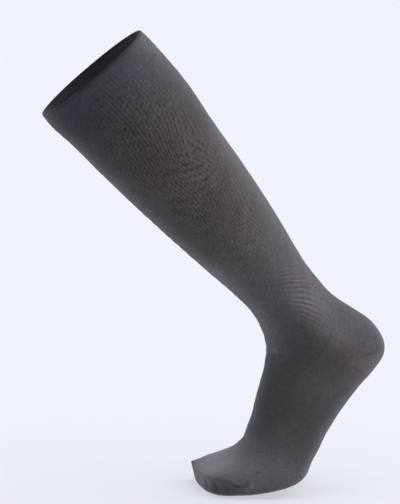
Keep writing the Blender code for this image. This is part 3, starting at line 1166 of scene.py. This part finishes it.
class ToeCap(KnitStretch):
    """Closed end, its upper and lower halves linked along the toe seam."""

    node = "toe_cap"
    piece = "toe_cloth"
    slot = "toe_knit"
    wall = 0.0012
    seam_and_painted_rim_shade = (0.06, 0.20)
    around = 400
    rows = 70
    inner_rows = 28
    closed_section = False
    inner_end: ClassVar[float] = 0.0030  # the inner face closes this far before the seam
    crowding: ClassVar[float] = 0.35  # how much closer the outer rows lie towards the seam

    def edges(self) -> tuple[np.ndarray, np.ndarray]:
        """From the seam behind the toes to the toe seam."""
        return self.at_columns(self.toe_cap_start + self.half_gap), self.at_columns(self.form.end)

    def partner(self) -> np.ndarray:
        """Index of the column that each one meets at the toe seam."""
        half = self.around // 2
        index = np.arange(self.around)
        return np.where(index <= half, half - index, 3 * half - index) % self.around

    def layer(self, stations: np.ndarray, outside: bool) -> Lay:
        """Draw a face's last or first row together along the toe seam.

        Args:
            stations: rows of stations, one row for each column.
            outside: the outer face, or else the inner one.

        Returns:
            The face.
        """
        lay = super().layer(stations, outside)
        row = -1 if outside else 0
        lay.points[:, row] = (lay.points[:, row] + lay.points[self.partner(), row]) / 2.0
        return lay

    def profile(self) -> Lay:
        """Lay two bags, one in the other, that meet in the seam behind the toes.

        Returns:
            The rows from the inner bag's end to the outer one's.
        """
        tops, ends = self.edges()
        inner = self.layer(spaced(ends - self.inner_end, tops, self.inner_rows), False)
        spread = np.linspace(0.0, 1.0, self.rows + 1)
        down = tops[:, None] + (ends - tops)[:, None] * (spread * (1.0 + self.crowding * (1.0 - spread)))
        return inner.beside(self.layer(down, True))


# ---- The studio ----


@dataclass(frozen=True)
class SoftLight:
    """A very large light, so far off that it falls evenly on the floor."""

    name: str
    bearing: float  # degrees from the camera's side round to the right
    elevation: float  # degrees
    strength: float
    spread: float  # degrees across

    def hang(self) -> None:
        """Put the light into the scene."""
        light = bpy.data.lights.new(self.name, "SUN")
        light.energy = self.strength
        light.angle = math.radians(self.spread)
        bearing, elevation = math.radians(self.bearing), math.radians(self.elevation)
        level = math.cos(elevation)
        toward = Vector((level * math.sin(bearing), -level * math.cos(bearing), math.sin(elevation)))
        lamp = bpy.data.objects.new(self.name, light)
        lamp.rotation_euler = toward.to_track_quat("Z", "Y").to_euler()
        bpy.context.scene.collection.objects.link(lamp)


@dataclass
class Studio:
    """Plain pale floor, soft light and the camera."""

    floor_level: float = -0.4158
    floor_size: float = 60.0
    floor_tone: tuple[float, float, float] = (0.30, 0.30, 0.32)
    floor_roughness: float = 0.9
    floor_gloss: float = 0.1
    floor_glow: tuple[float, float, float] = (0.92, 0.945, 1.0)
    floor_glow_strength: float = 0.555
    sky_tone: tuple[float, float, float] = (0.90, 0.92, 1.0)
    sky_strength: float = 0.40
    lights: tuple[SoftLight, ...] = (
        SoftLight("front softbox", -25.0, 52.0, 0.45, 70.0),
        SoftLight("overhead softbox", 120.0, 74.0, 1.70, 80.0),
        SoftLight("right softbox", 95.0, 30.0, 1.20, 60.0),
    )
    target: tuple[float, float, float] = (0.1026, 0.0, -0.1786)
    distance: float = 5.0
    elevation: float = math.radians(12.0)
    scale: float = 0.00097  # metres a pixel at the target
    pixels: int = 504  # along the frame's longer side
    sensor: float = 36.0
    sight: float = 100.0  # how far the camera sees

    def build(self) -> None:
        """Set up the floor, the sky, the lights and the camera."""
        self.floor()
        self.sky()
        for light in self.lights:
            light.hang()
        self.camera()
        bpy.context.scene.view_settings.view_transform = "Standard"

    def floor(self) -> None:
        """Lay a large pale floor."""
        bpy.ops.object.select_all(action="DESELECT")
        bpy.ops.mesh.primitive_plane_add(size=self.floor_size, location=(0.0, 0.0, self.floor_level))
        floor = bpy.context.object
        floor.name = "floor"
        floor.data.materials.append(Graph("pale_floor").cover({
            "Base Color": (*self.floor_tone, 1.0),
            "Roughness": self.floor_roughness,
            "Specular IOR Level": self.floor_gloss,
            "Emission Color": (*self.floor_glow, 1.0),
            "Emission Strength": self.floor_glow_strength,
        }))

    def sky(self) -> None:
        """Surround the scene with even pale light."""
        world = bpy.data.worlds.new("pale surround")
        world.use_nodes = True
        background = world.node_tree.nodes["Background"]
        background.inputs["Color"].default_value = (*self.sky_tone, 1.0)
        background.inputs["Strength"].default_value = self.sky_strength
        bpy.context.scene.world = world

    def camera(self) -> None:
        """Place the camera in front of the stocking's outer side, a little above it."""
        data = bpy.data.cameras.new("camera")
        data.sensor_width = self.sensor
        data.lens = self.sensor * self.distance / (self.scale * self.pixels)
        data.clip_end = self.sight
        camera = bpy.data.objects.new("camera", data)
        back = Vector((0.0, -math.cos(self.elevation), math.sin(self.elevation)))
        camera.location = Vector(self.target) + back * self.distance
        camera.rotation_euler = (-back).to_track_quat("-Z", "Y").to_euler()
        bpy.context.scene.collection.objects.link(camera)
        bpy.context.scene.camera = camera


def main() -> None:
    """Load the frame, knit the stocking over it and set up the studio."""
    logging.basicConfig(level=logging.INFO, format="%(name)s: %(message)s")
    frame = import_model()
    form = StockingForm()
    for kind in (TopBand, Leg, HeelPocket, Foot, ToeCap):
        kind(form, KnitFinish(f"{kind.piece}_knit"), frame["nodes"][kind.node]).build()
    Studio().build()


if __name__ == "__main__":
    main()
